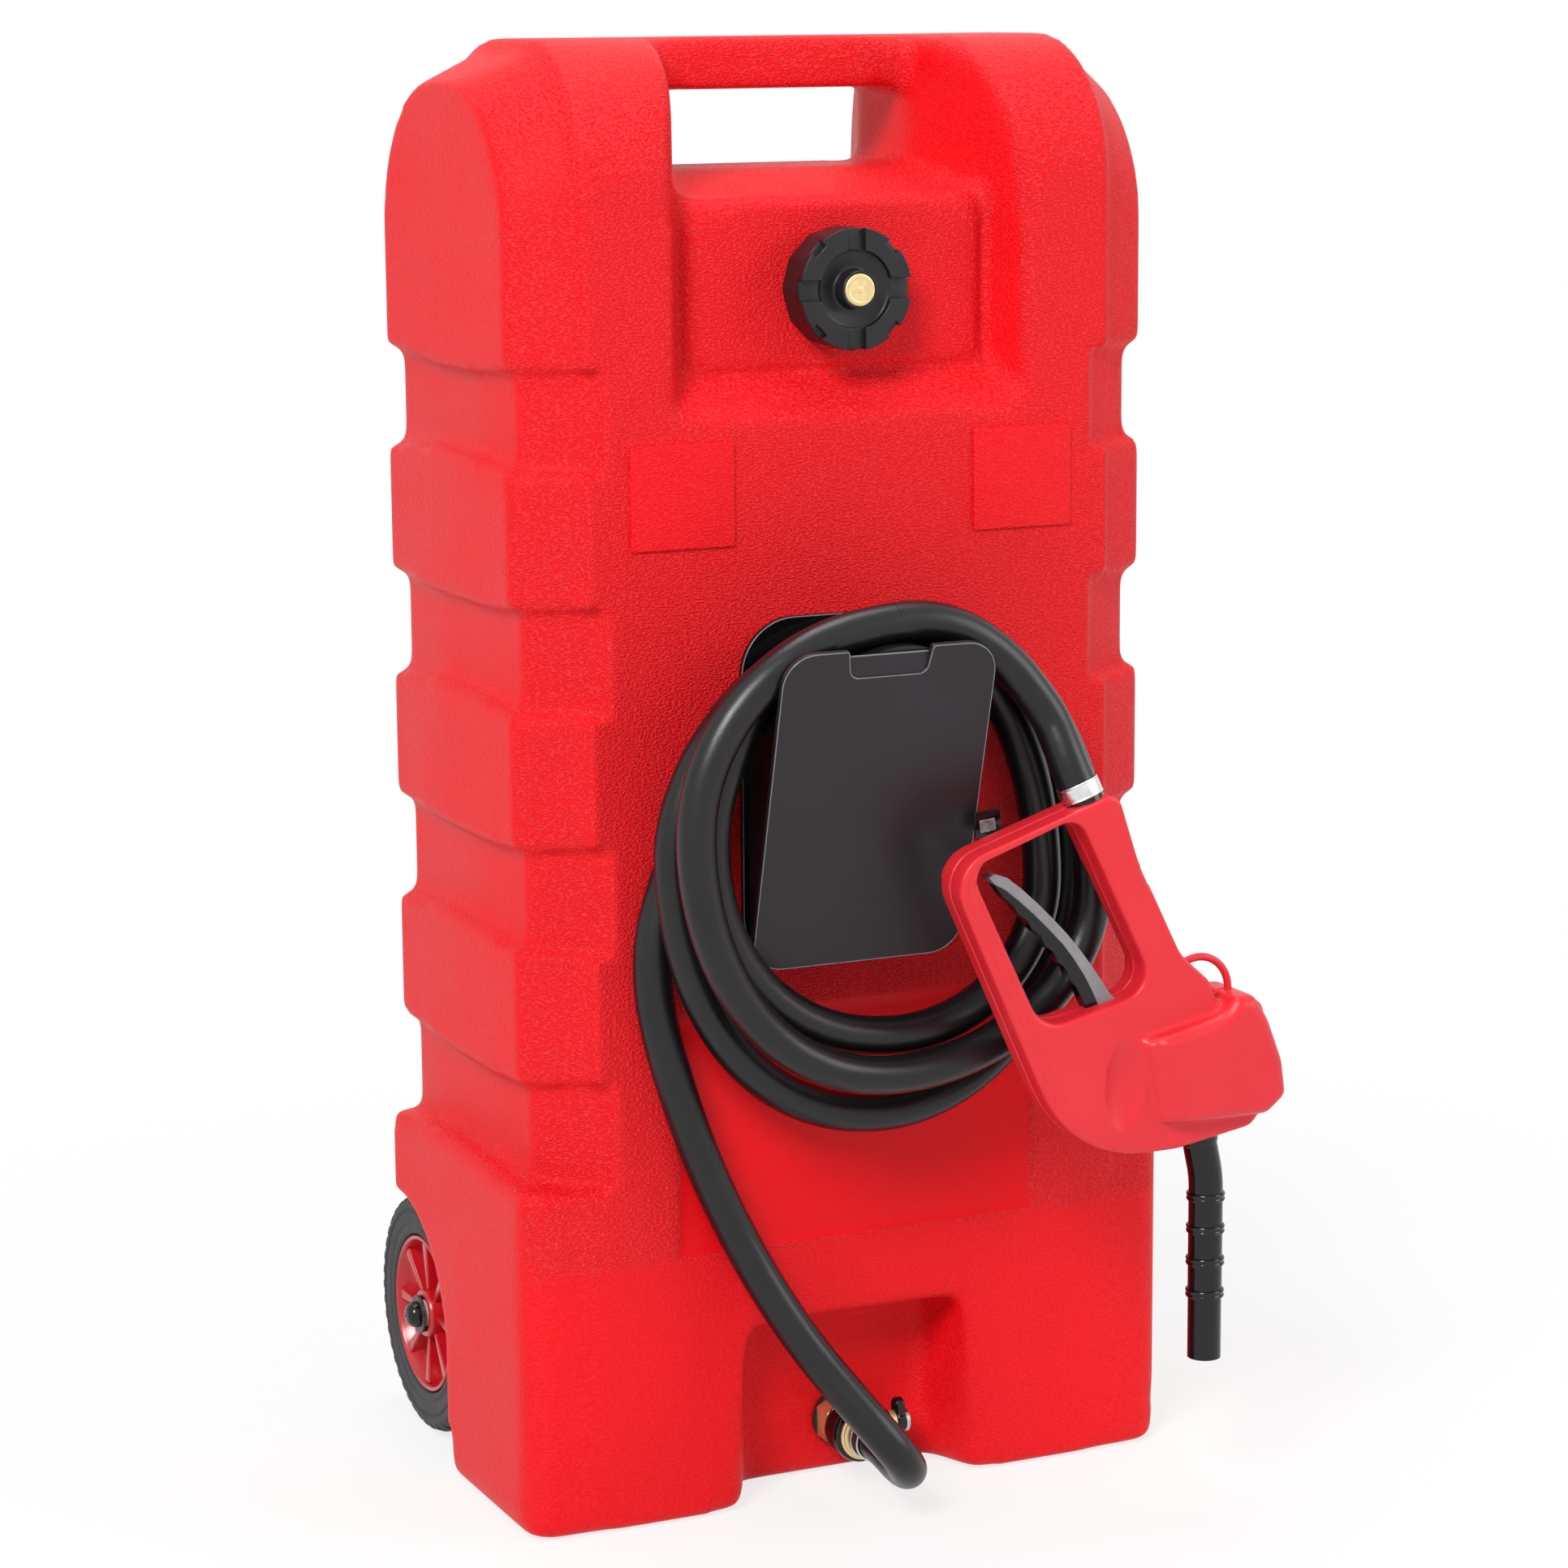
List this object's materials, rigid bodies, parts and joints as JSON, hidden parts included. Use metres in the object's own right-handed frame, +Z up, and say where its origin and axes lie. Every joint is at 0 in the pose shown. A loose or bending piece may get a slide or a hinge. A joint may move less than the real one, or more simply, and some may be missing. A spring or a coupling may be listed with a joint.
{
  "type": "fuel caddy",
  "caption": "Rolling moulded fuel tank with a carrying handle, screw cap, outlet valve, hose wound on a hanger and a hooked-on dispensing nozzle.",
  "frame": {"origin": "on the floor under the middle of the tank's width and depth, in its flat bottom face", "axes": "+X to the object's right seen from the front, +Y from front to back, +Z up"},
  "size_m": [0.4339, 0.443, 0.88],
  "materials": {
    "tank_red": "blow-moulded polyethylene with a pebbled grain",
    "nozzle_red": "injection-moulded plastic, smooth satin",
    "rim_red": "moulded wheel rim",
    "black_plastic": "moulded, fine matte",
    "gloss_black": "moulded, glossy",
    "grey_plastic": "moulded trigger, satin",
    "hose_rubber": "extruded fuel hose, soft sheen",
    "tyre_rubber": "moulded tyre",
    "seal_rubber": "moulded seal",
    "brass": "turned brass",
    "steel": "zinc-plated steel",
    "crimp_silver": "pressed bright band",
    "valve_metal": "die-cast body inside the nozzle",
    "nylon": "moulded bush"
  },
  "bodies": {
    "tank": {"tank": "tank_red", "axle": "steel", "axle_washers": "steel", "axle_caps": "gloss_black", "bushing_seal": "seal_rubber", "outlet_bushing": "brass", "outlet_nut": "brass", "valve_seats": "nylon", "valve_body": "black_plastic", "packing_nut": "brass", "hose_barb": "brass", "hose_clamp": "steel", "hose_lower_run": "hose_rubber", "hose_upper_run": "hose_rubber", "hose_coil": "hose_rubber", "hanger_base": "gloss_black", "hanger_core": "black_plastic", "hanger_cover": "black_plastic", "hanger_screws": "steel", "nozzle_hook": "steel", "hook_screws": "steel"},
    "left_wheel": {"left_tyre": "tyre_rubber", "left_rim": "rim_red", "left_bush": "nylon"},
    "right_wheel": {"right_tyre": "tyre_rubber", "right_rim": "rim_red", "right_bush": "nylon"},
    "cap_seal": {"cap_gasket": "seal_rubber"},
    "cap": {"cap_shell": "black_plastic", "vent_seat": "brass", "vent_spring": "steel"},
    "vent_button": {"vent_button": "brass"},
    "valve_lever": {"valve_ball": "brass", "valve_stem": "brass", "valve_handle": "gloss_black", "handle_nut": "steel"},
    "nozzle": {"nozzle_front_shell": "nozzle_red", "nozzle_back_shell": "nozzle_red", "shell_screws": "steel", "trigger_pin": "steel", "trigger_spring": "steel", "nozzle_valve": "valve_metal", "nozzle_inlet_tube": "valve_metal", "spout": "gloss_black", "spout_nut": "black_plastic", "spout_rings": "gloss_black", "crimp_band": "crimp_silver", "hose_ferrule": "gloss_black", "strap_loop": "nozzle_red"},
    "trigger": {"nozzle_trigger": "grey_plastic"}
  },
  "joints": [
    {"name": "left_wheel_spin", "type": "hinge", "parent": "tank", "child": "left_wheel", "pos_m": [-0.18, 0.11, 0.077], "axis": [1, 0, 0], "continuous": true},
    {"name": "right_wheel_spin", "type": "hinge", "parent": "tank", "child": "right_wheel", "pos_m": [0.18, 0.11, 0.077], "axis": [1, 0, 0], "continuous": true},
    {"name": "cap_lift", "type": "slide", "parent": "tank", "child": "cap_seal", "axis": [0, -1, 0], "range_m": [0, 0.015]},
    {"name": "cap_turn", "type": "hinge", "parent": "cap_seal", "child": "cap", "pos_m": [0, -0.11, 0.7355], "axis": [0, -1, 0], "range_deg": [0, 1080]},
    {"name": "vent_press", "type": "slide", "parent": "cap", "child": "vent_button", "axis": [0, 1, 0], "range_m": [0, 0.0025], "stiffness_N_per_m": 400, "springref_m": -0.001},
    {"name": "valve_turn", "type": "hinge", "parent": "tank", "child": "valve_lever", "pos_m": [0.006, -0.102, 0.036], "axis": [1, 0, 0], "range_deg": [0, 90]},
    {"name": "nozzle_lift", "type": "slide", "parent": "tank", "child": "nozzle", "axis": [0, 0, 1], "range_m": [0, 0.03], "deforming": ["hose_upper_run"]},
    {"name": "trigger_squeeze", "type": "hinge", "parent": "nozzle", "child": "trigger", "pos_m": [0.114, -0.23, 0.31], "axis": [0, 1, 0], "range_deg": [0, 10], "stiffness_Nm_per_rad": 2, "springref_deg": -5.73}
  ],
  "couplings": [
    {"joint": "cap_lift", "follows": "cap_turn", "m_per_rad": 0.000795}
  ]
}
